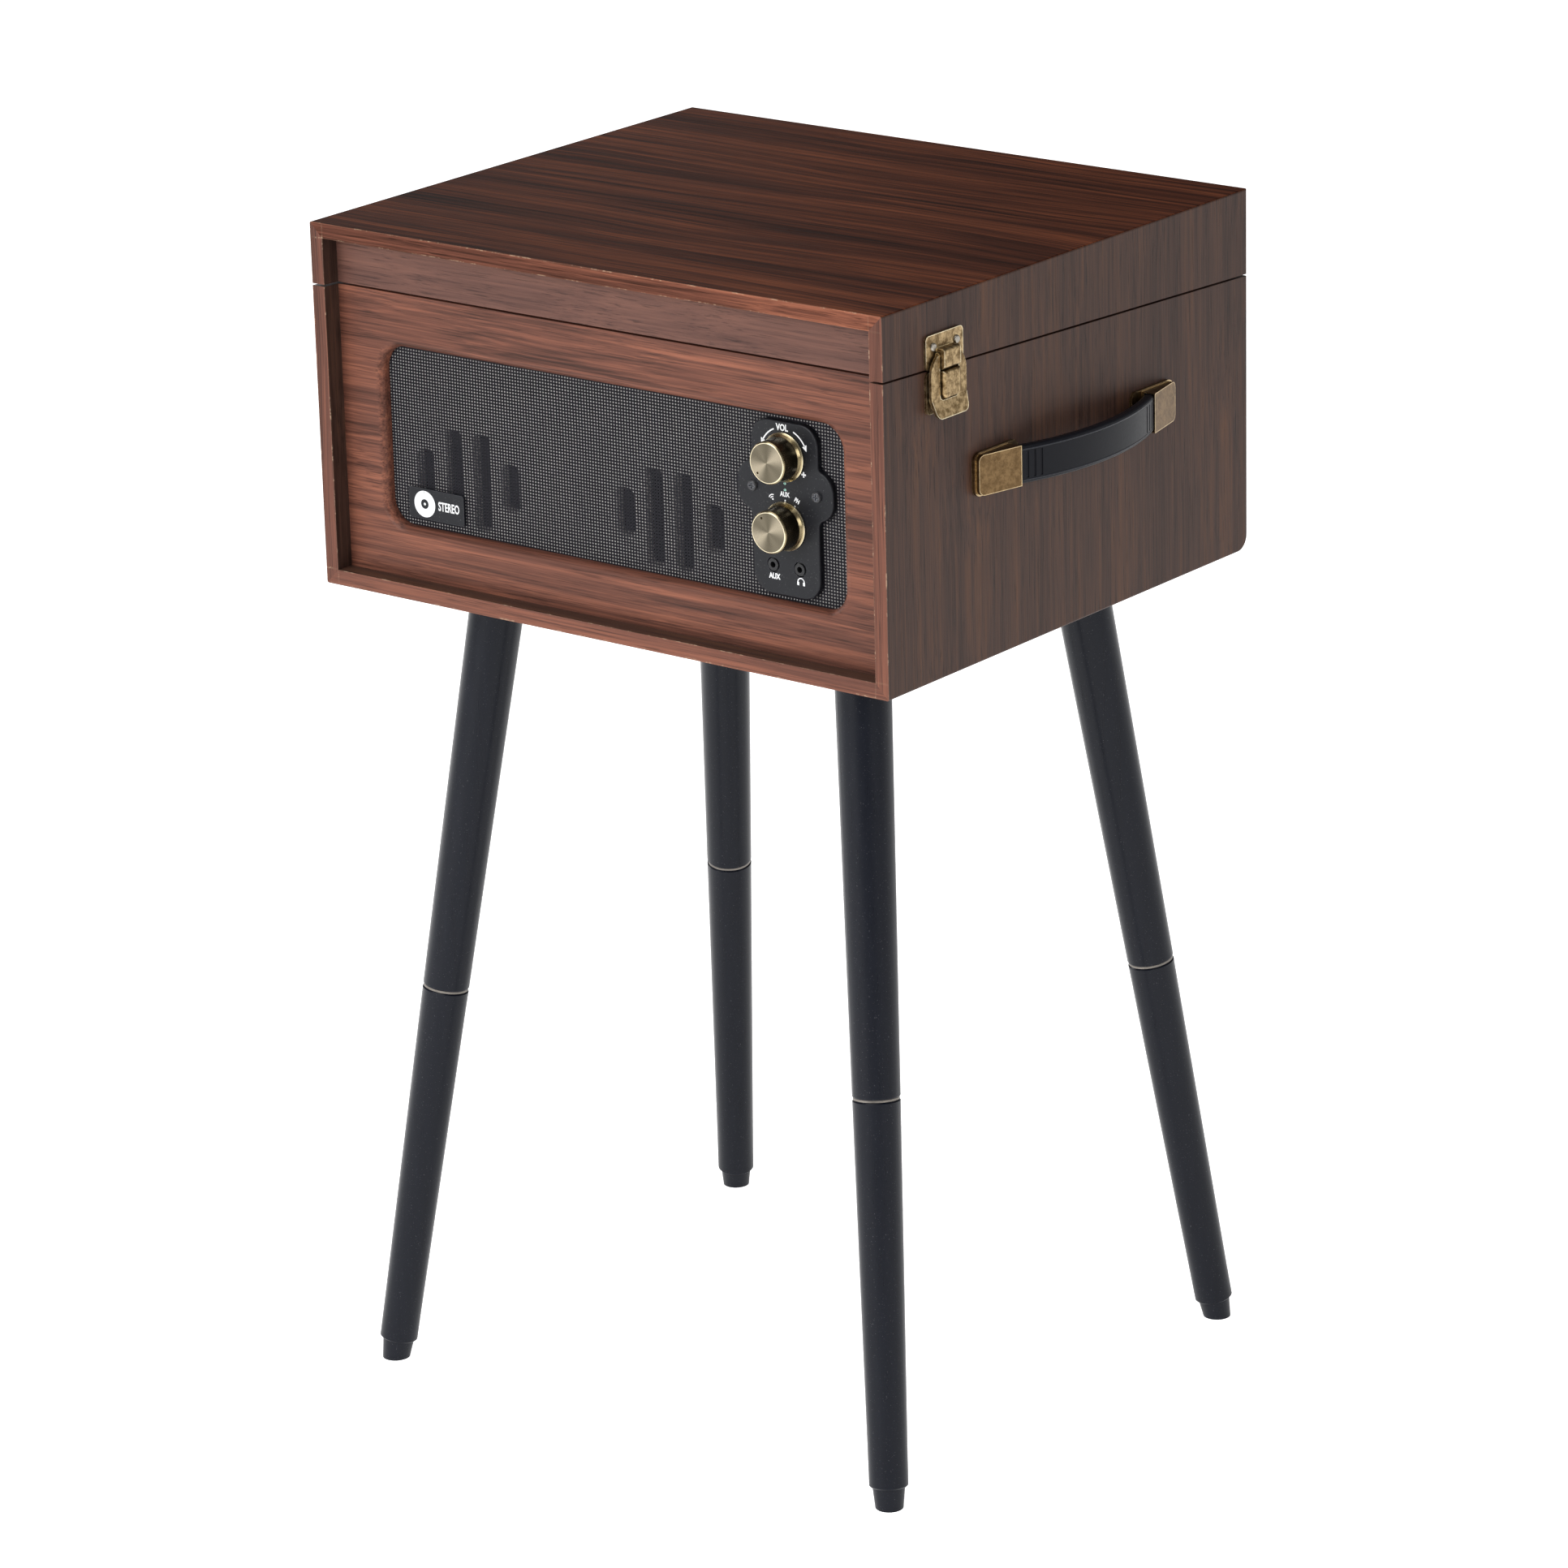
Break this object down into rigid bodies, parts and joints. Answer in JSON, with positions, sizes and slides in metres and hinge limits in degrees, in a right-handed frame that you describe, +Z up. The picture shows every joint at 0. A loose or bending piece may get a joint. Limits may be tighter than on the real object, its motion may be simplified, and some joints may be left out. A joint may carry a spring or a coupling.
{
  "type": "suitcase record player",
  "caption": "Walnut-pattern suitcase record player with a hinged lid, front speaker grille and control plate, side handle and latches, on tapered splayed legs.",
  "frame": {"origin": "floor point under the middle of the overall box", "axes": "+Z up, -Y to the front with the grille, +X to the side with the carrying handle"},
  "size_m": [0.4406, 0.3622, 0.706],
  "materials": {
    "walnut_wrap": "satin walnut-pattern vinyl over board",
    "grille_cloth": "open mesh cloth",
    "raw_board": "bare pressed board",
    "black_steel": "black lacquer",
    "paper_cone": "pressed paper",
    "black_plate": "satin black",
    "black_plastic": "moulded",
    "turned_brass": "spun and brushed",
    "antique_brass": "antiqued",
    "bright_screws": "bright",
    "bare_steel": "bright",
    "circuit_board": "lacquered laminate",
    "pulley_brass": "turned",
    "belt_rubber": "matt",
    "platter_metal": "cast and turned",
    "felt": "felt",
    "leg_black": "satin black lacquer"
  },
  "bodies": {
    "cabinet": {"right_side_panel": "walnut_wrap", "left_side_panel": "walnut_wrap", "bottom_panel": "walnut_wrap", "back_panel": "walnut_wrap", "front_panel": "walnut_wrap", "grille_cloth": "grille_cloth", "speaker_baffle": "raw_board", "speaker_frames": "black_steel", "speaker_cones": "paper_cone", "control_plate": "black_plate", "front_jacks": "black_plastic", "badge_plate": "black_plate", "control_bodies": "black_plastic", "amplifier_board": "circuit_board", "rear_socket_plate": "black_plate", "phono_sockets": "black_plastic", "dc_inlet": "black_plastic", "deck_plate": "black_plastic", "deck_rails": "raw_board", "bearing_housing": "bare_steel", "motor": "bare_steel", "drive_belt": "belt_rubber", "tonearm_base": "black_plastic", "tonearm_rest": "black_plastic", "leg_plates": "black_steel", "leg_studs": "bare_steel", "leg_joint_rings": "bright_screws", "leg_upper_sections": "leg_black", "leg_lower_sections": "leg_black", "leg_tips": "leg_black", "handle_grip": "black_plastic", "handle_caps": "antique_brass", "latch_keepers": "antique_brass", "hinge_case_leaves": "antique_brass", "hinge_pins": "antique_brass", "panel_screws": "black_steel", "brass_screws_case": "bright_screws"},
    "lid": {"lid_top": "walnut_wrap", "lid_right_side": "walnut_wrap", "lid_left_side": "walnut_wrap", "lid_back": "walnut_wrap", "lid_front": "walnut_wrap", "latch_plates": "antique_brass", "hinge_lid_leaves": "antique_brass", "brass_screws_lid": "bright_screws"},
    "hasp_right": {"latch_hasp_right": "antique_brass"},
    "hasp_left": {"latch_hasp_left": "antique_brass"},
    "volume_control": {"volume_knob": "turned_brass", "volume_shaft": "bare_steel"},
    "selector_control": {"selector_knob": "turned_brass", "selector_shaft": "bare_steel"},
    "platter_assembly": {"platter": "platter_metal", "slipmat": "felt", "spindle": "bare_steel"},
    "motor_rotor": {"motor_pulley": "pulley_brass"},
    "tonearm_carrier": {"tonearm_yoke": "black_plastic"},
    "tonearm": {"tonearm_tube": "platter_metal", "tonearm_head": "black_plastic"},
    "cue_lever_arm": {"cue_lever": "black_plastic"},
    "speed_slider": {"speed_switch": "black_plastic"}
  },
  "joints": [
    {"name": "lid_hinge", "type": "hinge", "parent": "cabinet", "child": "lid", "pos_m": [-0.0077, 0.17169, 0.65495], "axis": [-1, 0, 0], "range_deg": [0, 100]},
    {"name": "hasp_right_hinge", "type": "hinge", "parent": "lid", "child": "hasp_right", "pos_m": [0.2009, -0.12551, 0.67544], "axis": [0, -1, 0], "range_deg": [0, 120]},
    {"name": "hasp_left_hinge", "type": "hinge", "parent": "lid", "child": "hasp_left", "pos_m": [-0.2163, -0.12551, 0.67544], "axis": [0, 1, 0], "range_deg": [0, 120]},
    {"name": "volume_turn", "type": "hinge", "parent": "cabinet", "child": "volume_control", "pos_m": [0.1166, -0.17981, 0.6125], "axis": [0, 1, 0], "range_deg": [0, 270]},
    {"name": "selector_turn", "type": "hinge", "parent": "cabinet", "child": "selector_control", "pos_m": [0.1166, -0.17981, 0.573], "axis": [0, 1, 0], "range_deg": [0, 60]},
    {"name": "platter_spin", "type": "hinge", "parent": "cabinet", "child": "platter_assembly", "pos_m": [-0.0487, 0.00149, 0.643], "axis": [0, 0, -1], "continuous": true},
    {"name": "motor_spin", "type": "hinge", "parent": "cabinet", "child": "motor_rotor", "pos_m": [-0.11375, 0.06654, 0.643], "axis": [0, 0, -1], "continuous": true},
    {"name": "tonearm_swing", "type": "hinge", "parent": "cabinet", "child": "tonearm_carrier", "pos_m": [0.1423, 0.09049, 0.672], "axis": [0, 0, -1], "range_deg": [0, 50]},
    {"name": "tonearm_lift", "type": "hinge", "parent": "tonearm_carrier", "child": "tonearm", "pos_m": [0.1423, 0.09049, 0.672], "axis": [-1, 0, 0], "range_deg": [0, 4.5]},
    {"name": "cue_lever_turn", "type": "hinge", "parent": "cabinet", "child": "cue_lever_arm", "pos_m": [0.1623, 0.06549, 0.666], "axis": [-1, 0, 0], "range_deg": [0, 50]},
    {"name": "speed_slide", "type": "slide", "parent": "cabinet", "child": "speed_slider", "axis": [0, 1, 0], "range_m": [-0.01, 0.01]}
  ],
  "couplings": [
    {"joint": "motor_spin", "follows": "platter_spin", "ratio": 15.5},
    {"joint": "tonearm_lift", "follows": "cue_lever_turn", "ratio": 0.09}
  ]
}
